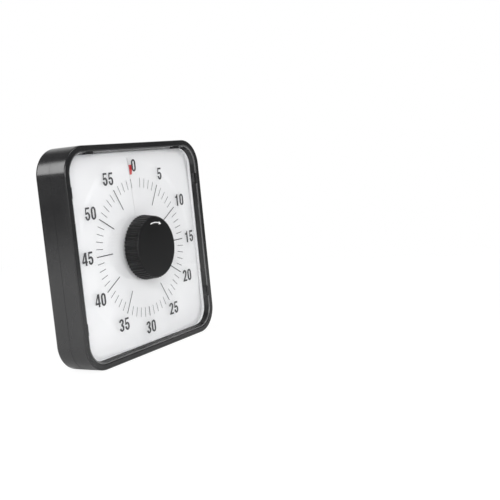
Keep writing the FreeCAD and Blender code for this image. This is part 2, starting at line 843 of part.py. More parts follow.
def make_battery_spring():
    """Negative contact: a plate and a conical spring of half-turn arcs, its wire drawn six-sided."""
    edge = -bay_length / 2
    half = contact_width / 2
    z = bay_centre_height
    plate = box((edge, edge + contact_thickness), (bay_floor_y, bay_floor_y + contact_height), (z - half, z + half))
    start_x = edge + contact_thickness + spring_wire_radius
    cell_end = bay_length / 2 - contact_thickness - contact_nub_height - cell_gap - cell_length
    end_x = cell_end - cell_gap - spring_wire_radius
    radii = spread(spring_base_radius, spring_tip_radius, spring_half_turns + 1)
    places = spread(start_x, end_x, spring_half_turns + 1)
    arcs = []
    for index in range(spring_half_turns):
        side = 1 if index % 2 == 0 else -1
        first = V(places[index], cell_y, z + side * radii[index])
        last = V(places[index + 1], cell_y, z - side * radii[index + 1])
        middle_radius = (radii[index] + radii[index + 1]) / 2
        shift = side * (radii[index] - radii[index + 1]) / 2
        middle = V((places[index] + places[index + 1]) / 2, cell_y + side * middle_radius, z + shift)
        arcs.append(Part.Arc(first, middle, last).toShape())
    path = Part.Wire(arcs)
    corners = []
    for index in range(7):
        turn = math.radians(60 * index)
        corners.append(V(start_x + spring_wire_radius * math.cos(turn), cell_y,
                         z + spring_base_radius + spring_wire_radius * math.sin(turn)))
    profile = Part.makePolygon(corners)
    wire = path.makePipeShell([profile], True, False)
    gap = (places[2] - places[0]) - 2 * spring_wire_radius
    print("battery spring: gap between turns %.2f mm" % gap)
    return Part.makeCompound([plate, wire])


def make_kickstand():
    """Fold-out stand: a skin with a rim and ribs inside, rounded about its pin."""
    half = stand_width / 2
    low = stand_low
    back = stand_recess_floor + stand_gap + stand_thickness
    front = back - stand_thickness
    plate = box((-half, half), (front, back), (low, stand_pin_z))
    plate = plate.fuse(bar(stand_thickness / 2, stand_pin_y, stand_pin_z, -half, half))
    pockets = []
    room = (low + stand_rib, stand_pin_z - stand_thickness)
    columns = 4
    pitch = (stand_width - stand_rib) / columns
    for index in range(columns):
        left = -half + stand_rib + index * pitch
        pockets.append(box((left, left + pitch - stand_rib), (front, back - stand_skin), room))
    for pocket in pockets:
        plate = plate.cut(pocket)
    return plate.cut(bar(stand_pin_radius + running_gap, stand_pin_y, stand_pin_z, -half, half)).removeSplitter()


def make_kickstand_pin():
    """Steel pin that the stand turns on."""
    reach = stand_width / 2 + stand_gap + stand_pin_seat - slip
    return bar(stand_pin_radius, stand_pin_y, stand_pin_z, -reach, reach)


def make_magnets():
    """Four disc magnets set flush in the back."""
    return Part.makeCompound([rod(magnet_radius, x, z, back_y - magnet_thickness - seat_gap / 2, back_y - seat_gap / 2)
                              for x, z in magnet_places()])


def make_circuit_board():
    """Board with its chip and two capacitors."""
    x = (board_centre_x - board_length / 2, board_centre_x + board_length / 2)
    y = (board_back - board_thickness, board_back)
    board = box(x, y, (centre_z - board_width / 2, centre_z + board_width / 2))
    for place_x, place_z in board_screw_places():
        board = board.cut(rod(small_bore_radius, place_x, place_z, *y))
    chip = box((board_centre_x - chip_length / 2, board_centre_x + chip_length / 2), (y[0] - chip_height, y[0]),
               (centre_z - chip_width / 2, centre_z + chip_width / 2))
    board = board.fuse(chip)
    for side in (-1, 1):
        board = board.fuse(rod(capacitor_radius, board_centre_x + side * capacitor_place_x,
                               centre_z - side * capacitor_place_z, y[0] - capacitor_height, y[0]))
    return board


def make_board_screws():
    """Two small screws through the board."""
    return Part.makeCompound([screw_at(x, z, board_back - board_thickness, small_head_radius, small_head_height,
                                       small_screw_radius, board_thickness + inner_back - board_back, 1)
                              for x, z in board_screw_places()])


def make_switch_body():
    """Housing of the volume switch on the board."""
    half = switch_length / 2
    high = switch_width / 2
    return box((board_centre_x - half, board_centre_x + half), (board_back, switch_back),
               (centre_z - high, centre_z + high))


def make_volume_slider():
    """Thumb piece of the volume switch, at its first position, with grip ridges."""
    x = board_centre_x - switch_travel / 2
    floor = back_y - thumb_recess_depth
    pad_y = (floor + slip, floor + slip + pad_thickness)
    stem = box((x - stem_length / 2, x + stem_length / 2), (switch_back + slip, pad_y[0]),
               (centre_z - stem_width / 2, centre_z + stem_width / 2))
    pad = box((x - pad_length / 2, x + pad_length / 2), pad_y, (centre_z - pad_width / 2, centre_z + pad_width / 2))
    ridge = pad_length / (2 * pad_grip_count + 1)
    for index in range(pad_grip_count):
        left = x - pad_length / 2 + ridge * (2 * index + 1)
        pad = pad.cut(box((left, left + ridge), (pad_y[1] - pad_thickness / 3, pad_y[1]),
                          (centre_z - pad_width / 2, centre_z + pad_width / 2)))
    return stem.fuse(pad)


def make_buzzer():
    """Round buzzer against the sound holes, with its sound port."""
    body = rod(buzzer_radius, buzzer_x, centre_z, inner_back - buzzer_height, inner_back)
    return body.cut(rod(2 * sound_hole_radius, buzzer_x, centre_z, inner_back - 1, inner_back))


def wheel_place(x, z, distance, angle):
    """Centre of a wheel that meshes with the one at x, z."""
    turn = math.radians(angle)
    return x + distance * math.sin(turn), z + distance * math.cos(turn)


def gear(teeth, module, x, z, y_from, y_to, tooth_angle):
    """Wheel with straight-sided teeth, one of them centred on tooth_angle."""
    pitch = 360 / teeth
    root = module * (teeth / 2 - 1.25)
    tip = module * (teeth / 2 + 0.9)
    points = []
    for index in range(teeth):
        centre = tooth_angle + index * pitch
        for share, radius in ((-0.30, root), (-0.12, tip), (0.12, tip), (0.30, root)):
            turn = math.radians(centre + share * pitch)
            points.append(V(x + radius * math.sin(turn), y_from, z + radius * math.cos(turn)))
    face = Part.Face(Part.makePolygon(points + [points[0]]))
    return face.extrude(V(0, y_to - y_from, 0))


def second_place():
    """Centre of the second wheel."""
    return wheel_place(0, centre_z, second_distance, second_wheel_angle)


def rotor_place():
    """Centre of the rotor."""
    return wheel_place(*second_place(), rotor_distance, rotor_angle)


def make_centre_wheel():
    """Wheel on the spindle, lightened by round holes."""
    y = (centre_wheel_y, centre_wheel_y + wheel_thickness)
    wheel = gear(centre_teeth, slow_module, 0, centre_z, *y, second_wheel_angle)
    wheel = wheel.fuse(rod(2 * spindle_radius, 0, centre_z, y[0] - hub_height, y[1]))
    for index in range(lightening_count):
        spot = on_dial(lightening_circle, 360 * index / lightening_count, 0)
        wheel = wheel.cut(rod(lightening_radius, spot.x, spot.z, *y))
    return wheel.cut(rod(spindle_radius + press_gap, 0, centre_z, y[0] - hub_height, y[1])).removeSplitter()


def make_second_wheel():
    """Arbor with a pinion in the centre wheel and a wheel in the rotor's pinion."""
    x, z = second_place()
    pinion_tooth = second_wheel_angle + 180 + 180 / pinion_teeth
    pinion = gear(pinion_teeth, slow_module, x, z, centre_wheel_y - pinion_cover,
                  centre_wheel_y + wheel_thickness + pinion_cover, pinion_tooth)
    wheel = gear(wheel_teeth, fast_module, x, z, second_wheel_y, second_wheel_y + fast_wheel_thickness,
                 rotor_angle)
    collar = rod(2 * arbor_radius, x, z, centre_wheel_y, second_wheel_y)
    arbor = rod(arbor_radius, x, z, movement_front + movement_wall + slip,
                movement_back - movement_wall - slip)
    return pinion.fuse(wheel).fuse(collar).fuse(arbor).removeSplitter()


def make_rotor():
    """Magnet rotor with its pinion."""
    x, z = rotor_place()
    tooth = rotor_angle + 180 + 180 / rotor_teeth
    pinion = gear(rotor_teeth, fast_module, x, z, second_wheel_y - pinion_cover,
                  second_wheel_y + fast_wheel_thickness + pinion_cover, tooth)
    magnet = rod(rotor_magnet_radius, x, z, rotor_magnet_y, rotor_magnet_y + rotor_magnet_length)
    arbor = rod(rotor_arbor_radius, x, z, movement_front + movement_wall + slip,
                movement_back - movement_wall - slip)
    return pinion.fuse(magnet).fuse(arbor).removeSplitter()


def coil_line():
    """Height of the coil's axis, its left end and its depth."""
    x, z = rotor_place()
    return z - core_drop, x + coil_start, stator_y + stator_thickness / 2


def make_stator():
    """Flat iron frame: round hole for the rotor, core through the coil and return bar."""
    x, z = rotor_place()
    core_z, left, y = coil_line()
    right = left + coil_length + core_extra
    half = core_width / 2
    top = z + stator_rise
    y = (stator_y, stator_y + stator_thickness)
    pole = box((x - stator_reach, left - pole_gap), y, (core_z - half, top))
    core = box((left - pole_gap, right), y, (core_z - half, core_z + half))
    end = box((right, right + core_width), y, (core_z - half, top))
    bridge = box((left - pole_gap, right), y, (top - stator_bridge, top))
    frame = pole.fuse(core).fuse(end).fuse(bridge)
    return frame.cut(rod(rotor_magnet_radius + stator_gap, x, z, *y)).removeSplitter()


def make_coil():
    """Coil on its bobbin, round the stator's core."""
    z, left, y = coil_line()
    right = left + coil_length
    winding = bar(coil_radius, y, z, left, right)
    for start in (left, right - coil_flange):
        winding = winding.fuse(bar(coil_flange_radius, y, z, start, start + coil_flange))
    core = box((left, right), (stator_y - running_gap, stator_y + stator_thickness + running_gap),
               (z - core_width / 2 - running_gap, z + core_width / 2 + running_gap))
    return winding.cut(core)


def movement_shell(y_open, y_closed):
    """One half of the movement case, open at the split."""
    half = movement_width / 2
    low, high = sorted((y_open, y_closed))
    block = centred_slab(half, half, movement_corner, low, high)
    inner_y = sorted((y_open, y_closed + movement_wall * (1 if y_open > y_closed else -1)))
    room = centred_slab(half - movement_wall, half - movement_wall, movement_corner - movement_wall, *inner_y)
    return block.cut(room)


def pivot_bosses(shell, wall_y, tip_y):
    """Bearings for the second wheel and the rotor, on the inside of one half."""
    low, high = sorted((wall_y, tip_y))
    for (x, z), radius in ((second_place(), arbor_radius), (rotor_place(), rotor_arbor_radius)):
        shell = shell.fuse(rod(radius + bearing_wall, x, z, low, high))
        shell = shell.cut(rod(radius + running_gap, x, z, low, high))
    return shell


def make_movement_cover():
    """Front half of the movement case with the spindle's bush."""
    shell = movement_shell(movement_split, movement_front)
    inner = movement_front + movement_wall
    shell = pivot_bosses(shell, inner, centre_wheel_y - 2 * pinion_cover)
    shell = shell.fuse(rod(bush_radius, 0, centre_z, movement_front - bush_height, movement_front))
    shell = shell.cut(rod(spindle_radius + running_gap, 0, centre_z, movement_front - bush_height, inner))
    return shell.removeSplitter()


def make_movement_base():
    """Back half of the movement case with ears, spindle socket and seats for the stator."""
    shell = movement_shell(movement_split, movement_back)
    inner = movement_back - movement_wall
    for x, z in ear_places():
        side = 1 if x > 0 else -1
        ear = rod(ear_radius, x, z, movement_back - ear_thickness, movement_back)
        root = box(sorted((side * (movement_width / 2 - movement_wall), x)),
                   (movement_back - ear_thickness, movement_back), (z - ear_radius, z + ear_radius))
        shell = shell.fuse(ear).fuse(root)
        shell = shell.cut(rod(small_bore_radius, x, z, movement_back - ear_thickness, movement_back))
    room = movement_width / 2 - movement_wall
    shell = shell.cut(centred_slab(room, room, movement_corner - movement_wall, movement_split, inner))
    shell = pivot_bosses(shell, inner, inner - bearing_height)
    shell = shell.fuse(rod(spindle_pivot_radius + socket_wall, 0, centre_z, inner - socket_height, inner))
    shell = shell.cut(rod(spindle_pivot_radius + running_gap, 0, centre_z, inner - socket_height, inner))
    x, z = rotor_place()
    core_z, left, y = coil_line()
    right = left + coil_length + core_extra + core_width / 2
    for spot_x in (x - stator_reach + stator_post_inset, right):
        shell = shell.fuse(rod(stator_post_radius, spot_x, core_z + 2 * core_width, stator_y + stator_thickness, inner))
    return shell.removeSplitter()


def make_movement_screws():
    """Four small screws through the movement's ears."""
    return Part.makeCompound([screw_at(x, z, movement_back - ear_thickness, small_head_radius, small_head_height,
                                       small_screw_radius, ear_thickness + inner_back - movement_back, 1)
                              for x, z in ear_places()])


PIECES = {
    "front_case": make_front_case,
    "lens": make_lens,
    "dial_plate": make_dial_plate,
    "dial": make_dial,
    "countdown_disc": make_countdown_disc,
    "disc_tab": make_disc_tab,
    "disc_hub": make_disc_hub,
    "disc_clamp": make_disc_clamp,
    "knob": make_knob,
    "spindle": make_spindle,
    "rear_case": make_rear_case,
    "case_screws": make_case_screws,
    "battery_door": make_battery_door,
    "aa_cell": make_cell,
    "battery_plate": make_battery_plate,
    "battery_spring": make_battery_spring,
    "kickstand": make_kickstand,
    "kickstand_pin": make_kickstand_pin,
    "magnets": make_magnets,
    "circuit_board": make_circuit_board,
    "board_screws": make_board_screws,
    "switch_body": make_switch_body,
    "volume_slider": make_volume_slider,
    "buzzer": make_buzzer,
    "movement_cover": make_movement_cover,
    "movement_base": make_movement_base,
    "movement_screws": make_movement_screws,
    "centre_wheel": make_centre_wheel,
    "second_wheel": make_second_wheel,
    "rotor": make_rotor,
    "stator": make_stator,
    "coil": make_coil,
}


os.makedirs("parts", exist_ok=True)
for name, make in PIECES.items():
    shape = make()
    shape.exportStep(os.path.join("parts", name + ".step"))
    print(name, "solids", len(shape.Solids), "valid", shape.isValid(), "volume %.1f" % shape.Volume)
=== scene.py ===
"""Visual countdown timer, dressed for a studio photograph.

Everything is in metres in the part's own frame: origin at the centre of the flat base, X to the
right seen from the front, Y to the back, Z up.
"""
import math

import bmesh
import bpy
import numpy as np
from mathutils import Matrix, Vector


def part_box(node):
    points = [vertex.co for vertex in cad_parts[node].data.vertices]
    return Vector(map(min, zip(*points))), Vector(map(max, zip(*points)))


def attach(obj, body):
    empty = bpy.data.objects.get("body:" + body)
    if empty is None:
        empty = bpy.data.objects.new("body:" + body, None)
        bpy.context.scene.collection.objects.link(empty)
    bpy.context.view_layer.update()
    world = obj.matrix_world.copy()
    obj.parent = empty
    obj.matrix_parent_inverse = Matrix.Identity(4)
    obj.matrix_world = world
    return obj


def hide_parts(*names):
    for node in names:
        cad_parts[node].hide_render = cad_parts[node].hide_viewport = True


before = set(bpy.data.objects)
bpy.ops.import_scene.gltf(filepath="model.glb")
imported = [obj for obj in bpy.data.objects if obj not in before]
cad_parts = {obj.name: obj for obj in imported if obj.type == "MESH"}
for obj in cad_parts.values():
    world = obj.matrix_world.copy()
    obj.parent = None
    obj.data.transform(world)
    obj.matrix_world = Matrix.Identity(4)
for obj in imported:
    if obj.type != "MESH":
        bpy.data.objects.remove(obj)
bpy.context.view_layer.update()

scene = bpy.context.scene
scene.view_settings.view_transform = "Standard"
MM = 0.001


# The place of the photograph: the timer is seen from the left, from a little above its centre,
# by a camera held slightly crooked.  The lens is long, so the case narrows only a little.
camera_place = Vector((-603.95, -485.14, 162.57)) * MM
camera_heading = 59.022
camera_drop = 6.066
camera_roll = -5.621
frame_pixels = 500
focal_pixels = 851.55
sensor_width = 36.0

heading = math.radians(camera_heading)
drop = math.radians(camera_drop)
looking = Vector((math.sin(heading) * math.cos(drop),
                  math.cos(heading) * math.cos(drop),
                  -math.sin(drop)))
camera_data = bpy.data.cameras.new("studio_camera")
camera_data.sensor_width = sensor_width
camera_data.lens = focal_pixels / frame_pixels * sensor_width
camera = bpy.data.objects.new("studio_camera", camera_data)
turn = looking.to_track_quat("-Z", "Y").to_matrix() @ Matrix.Rotation(math.radians(camera_roll), 3, "Z")
camera.matrix_world = Matrix.Translation(camera_place) @ turn.to_4x4()
scene.collection.objects.link(camera)
scene.camera = camera


# A white table under the timer.  It is seen pure white, as the room behind it is, but it keeps the
# soft shadow under the case, and it lights the case from below.
table_left = -1300 * MM
table_right = 550 * MM
table_front = -600 * MM
table_back = 1300 * MM
paper_colour = (0.86, 0.86, 0.86, 1.0)
paper_fibre = (0.82, 0.82, 0.82, 1.0)
paper_rough = 0.8
fibre_per_metre = 40.0
seen_white = 0.86
seen_strength = 1.06


def new_material(name):
    """Empty node material with its Principled shader."""
    material = bpy.data.materials.new(name)
    material.use_nodes = True
    tree = material.node_tree
    return material, tree.nodes, tree.links, tree.nodes["Principled BSDF"]


def mesh_piece(name, vertices, faces, smooth=True):
    """Object at the origin from points and faces; the faces are an array or a list of lists."""
    mesh = bpy.data.meshes.new(name)
    corners = faces.tolist() if isinstance(faces, np.ndarray) else faces
    mesh.from_pydata(np.asarray(vertices).tolist(), [], corners)
    mesh.polygons.foreach_set("use_smooth", np.full(len(mesh.polygons), smooth))
    mesh.update()
    piece = bpy.data.objects.new(name, mesh)
    scene.collection.objects.link(piece)
    return piece


table_corners = [(table_left, table_front, 0), (table_right, table_front, 0),
                 (table_right, table_back, 0), (table_left, table_back, 0)]
floor = mesh_piece("studio_floor", table_corners, [(0, 1, 2, 3)], smooth=False)
paper, nodes, links, paper_shader = new_material("white_paper")
paper_shader.inputs["Roughness"].default_value = paper_rough
fibre = nodes.new("ShaderNodeTexNoise")
fibre.inputs["Scale"].default_value = fibre_per_metre
fibre_colour = nodes.new("ShaderNodeMix")
fibre_colour.data_type = "RGBA"
fibre_colour.inputs["A"].default_value = paper_colour
fibre_colour.inputs["B"].default_value = paper_fibre
place = nodes.new("ShaderNodeTexCoord")
links.new(place.outputs["Object"], fibre.inputs["Vector"])
links.new(fibre.outputs["Fac"], fibre_colour.inputs["Factor"])
links.new(fibre_colour.outputs["Result"], paper_shader.inputs["Base Color"])
seen = nodes.new("ShaderNodeEmission")
seen.inputs["Color"].default_value = (1.0, 1.0, 1.0, 1.0)
seen.inputs["Strength"].default_value = seen_strength
ray = nodes.new("ShaderNodeLightPath")
lift = nodes.new("ShaderNodeMixShader")
lift_share = nodes.new("ShaderNodeMath")
lift_share.operation = "MULTIPLY"
lift_share.inputs[1].default_value = seen_white
links.new(ray.outputs["Is Camera Ray"], lift_share.inputs[0])
links.new(lift_share.outputs[0], lift.inputs["Fac"])
links.new(paper_shader.outputs[0], lift.inputs[1])
links.new(seen.outputs[0], lift.inputs[2])
links.new(lift.outputs[0], nodes["Material Output"].inputs["Surface"])
floor.data.materials.append(paper)


# The room: even light on everything, a white backdrop beyond the timer, and the dark side of the
# room, from which the photograph is taken, in the gloss of what faces it.
room_light = 0.5
dark_room = 0.12
backdrop_start = 0.5
backdrop_full = 0.85
world = bpy.data.worlds.new("studio_room")
world.use_nodes = True
scene.world = world
nodes = world.node_tree.nodes
links = world.node_tree.links
even_light = nodes["Background"]
even_light.inputs["Color"].default_value = (room_light, room_light, room_light, 1.0)
white_room = nodes.new("ShaderNodeBackground")
white_room.inputs["Color"].default_value = (1.0, 1.0, 1.0, 1.0)
mirrored_room = nodes.new("ShaderNodeBackground")
direction = nodes.new("ShaderNodeTexCoord")
along = nodes.new("ShaderNodeVectorMath")
along.operation = "DOT_PRODUCT"
along.inputs[1].default_value = (math.sin(heading), math.cos(heading), 0.0)
backdrop_share = nodes.new("ShaderNodeMapRange")
backdrop_share.interpolation_type = "SMOOTHSTEP"
backdrop_share.inputs["From Min"].default_value = backdrop_start
backdrop_share.inputs["From Max"].default_value = backdrop_full
backdrop_share.inputs["To Min"].default_value = dark_room
ray = nodes.new("ShaderNodeLightPath")
seen_ray = nodes.new("ShaderNodeMath")
seen_ray.operation = "MAXIMUM"
gloss_mix = nodes.new("ShaderNodeMixShader")
seen_mix = nodes.new("ShaderNodeMixShader")
links.new(direction.outputs["Generated"], along.inputs[0])
links.new(along.outputs["Value"], backdrop_share.inputs["Value"])
links.new(backdrop_share.outputs["Result"], mirrored_room.inputs["Strength"])
links.new(ray.outputs["Is Glossy Ray"], gloss_mix.inputs["Fac"])
links.new(even_light.outputs[0], gloss_mix.inputs[1])
links.new(mirrored_room.outputs[0], gloss_mix.inputs[2])
links.new(ray.outputs["Is Camera Ray"], seen_ray.inputs[0])
links.new(ray.outputs["Is Transmission Ray"], seen_ray.inputs[1])
links.new(seen_ray.outputs[0], seen_mix.inputs["Fac"])
links.new(gloss_mix.outputs[0], seen_mix.inputs[1])
links.new(white_room.outputs[0], seen_mix.inputs[2])
links.new(seen_mix.outputs[0], nodes["World Output"].inputs["Surface"])


# Three soft lamps: one beside the camera, which lights the dial and hides the shadows behind what
# casts them, one high behind on the left, which draws the gloss on the corner, and one overhead.
case_middle = (0.0, 0.0, 0.09)


def softbox(name, place, aim, width, height, power):
    """Rectangular lamp at a place, turned to its aim."""
    lamp = bpy.data.lights.new(name, "AREA")
    lamp.shape = "RECTANGLE"
    lamp.size = width
    lamp.size_y = height
    lamp.energy = power
    holder = bpy.data.objects.new(name, lamp)
    facing = (Vector(aim) - Vector(place)).to_track_quat("-Z", "Y").to_matrix().to_4x4()
    holder.matrix_world = Matrix.Translation(Vector(place)) @ facing
    scene.collection.objects.link(holder)


softbox("camera_softbox", place=(-1.05, -1.05, 0.55), aim=case_middle, width=0.9, height=0.7, power=16.0)
softbox("corner_softbox", place=(-0.80, 0.62, 0.70), aim=case_middle, width=0.6, height=0.7, power=8.0)
softbox("overhead_softbox", place=(0.25, -0.60, 1.4), aim=case_middle, width=0.8, height=0.8, power=5.0)


# Back half of the case, moulded in black plastic with a fine spark-eroded grain.  It carries the
# battery bay, the stand's recess and the screw pillars, and closes the front half from behind.
case_black = (0.0135, 0.0135, 0.0142, 1.0)
case_scuffed = (0.021, 0.021, 0.0215, 1.0)
case_gloss = (0.16, 0.23)
grain_per_metre = 2600.0
grain_detail = 3.0
grain_depth = 6e-6
drift_per_metre = 24.0
drift_detail = 4.0
tint_band = (0.35, 0.7)
gloss_band = (0.3, 0.7)


def grain_group():
    """Moulded plastic: fine grain in the height, slow drifts in colour and gloss."""
    group = bpy.data.node_groups.new("moulded_grain", "ShaderNodeTree")
    sides = (("Colour", "NodeSocketColor", "INPUT"), ("Scuffed Colour", "NodeSocketColor", "INPUT"),
             ("Grain Scale", "NodeSocketFloat", "INPUT"),
             ("Lowest Roughness", "NodeSocketFloat", "INPUT"),
             ("Highest Roughness", "NodeSocketFloat", "INPUT"), ("Colour", "NodeSocketColor", "OUTPUT"),
             ("Roughness", "NodeSocketFloat", "OUTPUT"), ("Height", "NodeSocketFloat", "OUTPUT"))
    for label, kind, side in sides:
        group.interface.new_socket(name=label, in_out=side, socket_type=kind)
    given = group.nodes.new("NodeGroupInput")
    result = group.nodes.new("NodeGroupOutput")
    place = group.nodes.new("ShaderNodeTexCoord")
    grain = group.nodes.new("ShaderNodeTexNoise")
    grain.inputs["Detail"].default_value = grain_detail
    drift = group.nodes.new("ShaderNodeTexNoise")
    drift.inputs["Scale"].default_value = drift_per_metre
    drift.inputs["Detail"].default_value = drift_detail
    tint = group.nodes.new("ShaderNodeMix")
    tint.data_type = "RGBA"
    share = group.nodes.new("ShaderNodeMapRange")
    share.inputs["From Min"].default_value = tint_band[0]
    share.inputs["From Max"].default_value = tint_band[1]
    gloss = group.nodes.new("ShaderNodeMapRange")
    gloss.inputs["From Min"].default_value = gloss_band[0]
    gloss.inputs["From Max"].default_value = gloss_band[1]
    join = group.links.new
    join(place.outputs["Object"], grain.inputs["Vector"])
    join(place.outputs["Object"], drift.inputs["Vector"])
    join(given.outputs["Grain Scale"], grain.inputs["Scale"])
    join(drift.outputs["Fac"], share.inputs["Value"])
    join(share.outputs["Result"], tint.inputs["Factor"])
    join(given.outputs["Colour"], tint.inputs["A"])
    join(given.outputs["Scuffed Colour"], tint.inputs["B"])
    join(drift.outputs["Fac"], gloss.inputs["Value"])
    join(given.outputs["Lowest Roughness"], gloss.inputs["To Min"])
    join(given.outputs["Highest Roughness"], gloss.inputs["To Max"])
    join(tint.outputs["Result"], result.inputs["Colour"])
    join(gloss.outputs["Result"], result.inputs["Roughness"])
    join(grain.outputs["Fac"], result.inputs["Height"])
    return group


moulded_grain = grain_group()


def moulded_plastic(name, colour, scuffed, gloss, scale, depth, specular=0.5):
    """Plastic with the moulded grain; gloss is its lowest and highest roughness, depth in metres."""
    material, nodes, links, shader = new_material(name)
    grain = nodes.new("ShaderNodeGroup")
    grain.node_tree = moulded_grain
    grain.inputs["Colour"].default_value = colour
    grain.inputs["Scuffed Colour"].default_value = scuffed
    grain.inputs["Grain Scale"].default_value = scale
    grain.inputs["Lowest Roughness"].default_value = gloss[0]
    grain.inputs["Highest Roughness"].default_value = gloss[1]
    bump = nodes.new("ShaderNodeBump")
    bump.inputs["Distance"].default_value = depth
    bump.inputs["Strength"].default_value = 1.0
    links.new(grain.outputs["Colour"], shader.inputs["Base Color"])
    links.new(grain.outputs["Roughness"], shader.inputs["Roughness"])
    links.new(grain.outputs["Height"], bump.inputs["Height"])
    links.new(bump.outputs["Normal"], shader.inputs["Normal"])
    shader.inputs["Specular IOR Level"].default_value = specular
    return material


def finish_node(node, material):
    """Give a CAD node its finish."""
    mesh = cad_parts[node].data
    mesh.materials.clear()
    mesh.materials.append(material)


case_plastic = moulded_plastic("case_black_plastic", case_black, case_scuffed, case_gloss,
                               grain_per_metre, grain_depth)
finish_node("rear_case", case_plastic)


# Front half of the case: the same black moulding, with the rounded rim, the sloping wall of the
# window and the lugs that hold the lens.  Four screws from behind pull it to the back half.
finish_node("front_case", case_plastic)


# Window bead: a polished roll moulded with the case along the window's front edge, just inside
# the rim.  It stops at the lugs that hold the lens.  Its grey, far lighter than the case black,
# is a painted highlight for the bright line along the rim's inner edge.
bead_half_width = 89.55 * MM
bead_half_height = 88.05 * MM
bead_corner = 18.9 * MM
bead_radius = 0.65 * MM
bead_depth = 1.0 * MM
bead_lug_side = 56.0 * MM
bead_lug_top = 61.5 * MM
bead_gap = 5.2 * MM
bead_turns = 1440
bead_sides = 12
sunk_radii = 1.6
seam_reach = 1e-7


def rounded_reach(angle, half_width, half_height, radius):
    """Distance from the centre to a rounded rectangle at an angle clockwise from the top.

    The straight sides are met at half width over the sine or half height over the cosine; in a
    corner the distance solves the circle about the corner's centre.
    """
    across = np.abs(np.sin(angle))
    upward = np.abs(np.cos(angle))
    straight = np.minimum(half_width / np.maximum(across, 1e-9), half_height / np.maximum(upward, 1e-9))
    corner_x = half_width - radius
    corner_z = half_height - radius
    along = across * corner_x + upward * corner_z
    inside = along ** 2 - (corner_x ** 2 + corner_z ** 2 - radius ** 2)
    arc = along + np.sqrt(np.maximum(inside, 0.0))
    in_corner = (straight * across > corner_x) & (straight * upward > corner_z)
    return np.where(in_corner, arc, straight)


def grid_faces(rows, columns, wrap=False):
    """Quads of a grid of points, its columns joined end to end if it wraps."""
    last = columns if wrap else columns - 1
    row, column = np.meshgrid(np.arange(rows - 1), np.arange(last), indexing="ij")
    following = (column + 1) % columns
    corners = (row * columns + column, row * columns + following,
               (row + 1) * columns + following, (row + 1) * columns + column)
    return np.stack(corners, axis=-1).reshape(-1, 4)


def welded(piece, distance):
    """Join points of a piece that lie together, along a seam."""
    loose = bmesh.new()
    loose.from_mesh(piece.data)
    bmesh.ops.remove_doubles(loose, verts=loose.verts, dist=distance)
    loose.to_mesh(piece.data)
    loose.free()


def window_bead():
    """Circles of the bead's radius about the points of the rounded outline.

    Each circle lies in the plane of the outward direction and depth.  Beside a lug it is moved
    outwards, where it lies hidden inside the wall.
    """
    turns = bead_turns
    middle_z = (case_low[2] + case_high[2]) / 2
    angle = (np.arange(turns) + 0.5) * 2 * math.pi / turns
    reach = rounded_reach(angle, bead_half_width, bead_half_height, bead_corner)
    x = reach * np.sin(angle)
    z = reach * np.cos(angle)
    at_side = (np.abs(x) > bead_half_width - MM) & (np.abs(np.abs(z) - bead_lug_side) < bead_gap)
    at_top = (z > bead_half_height - MM) & (np.abs(np.abs(x) - bead_lug_top) < bead_gap)
    out = np.stack((x / reach, z / reach), axis=-1)
    shift = np.where(at_side | at_top, sunk_radii * bead_radius, 0.0)
    section = np.arange(bead_sides) * 2 * math.pi / bead_sides
    across = shift[:, None] + bead_radius * np.cos(section)[None, :]
    y = case_low[1] + bead_depth + np.repeat(bead_radius * np.sin(section)[None, :], turns, axis=0)
    points = np.stack((x[:, None] + across * out[:, :1], y,
                       middle_z + z[:, None] + across * out[:, 1:]), axis=-1)
    wrapped = np.vstack((points, points[:1]))
    return wrapped.reshape(-1, 3), grid_faces(turns + 1, bead_sides, wrap=True)


case_low, case_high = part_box("front_case")
bead_points, bead_faces = window_bead()
bead = mesh_piece("window_bead", bead_points, bead_faces)
welded(bead, seam_reach)
# Painted highlight: the bead's light grey stands in for the gloss line along the window's edge.
bead_painted_highlight = moulded_plastic("bead_painted_highlight_grey", colour=(0.10, 0.10, 0.102, 1.0),
                              scuffed=(0.12, 0.12, 0.122, 1.0), gloss=(0.10, 0.15),
                              scale=grain_per_metre, depth=1e-6, specular=1.0)
bead.data.materials.append(bead_painted_highlight)
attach(bead, "case")


# Battery door and fold-out stand, moulded with the case and finished alike.  The door clips over
# the bay and the stand turns on a steel pin.
finish_node("battery_door", case_plastic)
finish_node("kickstand", case_plastic)


# Dial: a thin matt white sheet with one slit at twelve o'clock, from the hub nearly to the rim.
# Its two lips stand apart, so that the red disc can wind through, and it lies flat at its rim.
dial_white = (0.83, 0.83, 0.84, 1.0)
dial_shade = (0.80, 0.80, 0.815, 1.0)
dial_gloss = (0.42, 0.5)
dial_grain = 900.0
dial_grain_depth = 2e-6
dial_specular = 0.35
dial_hole = 14.0 * MM
twist_end = 75.5 * MM
flat_from = 82.0 * MM
slit_gap = 0.6 * MM
slit_angle = -2.9
lip_step = 2.0 * MM
sheet_thickness = 0.38 * MM
sheet_before_middle = 0.2 * MM
sheet_turns = 361
twist_rings = 22
closing_rings = 8
flat_rings = 5
sheet_seam_reach = 1e-6
window_half_width = 87.5 * MM
window_half_height = 86.0 * MM
window_corner = 16.9 * MM
sheet_margin = 0.4 * MM

lens_low, lens_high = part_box("lens")
plate_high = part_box("dial_plate")[1]
dial_low, dial_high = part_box("dial")
dial_centre_z = (dial_low[2] + dial_high[2]) / 2
dial_mid_y = (dial_low[1] + dial_high[1]) / 2
dial_face_y = dial_mid_y - sheet_before_middle


def smooth_rise(value, start, end):
    """Three squared minus two cubed of the share from start to end, held between 0 and 1."""
    share = np.clip((value - start) / (end - start), 0.0, 1.0)
    return share * share * (3.0 - 2.0 * share)


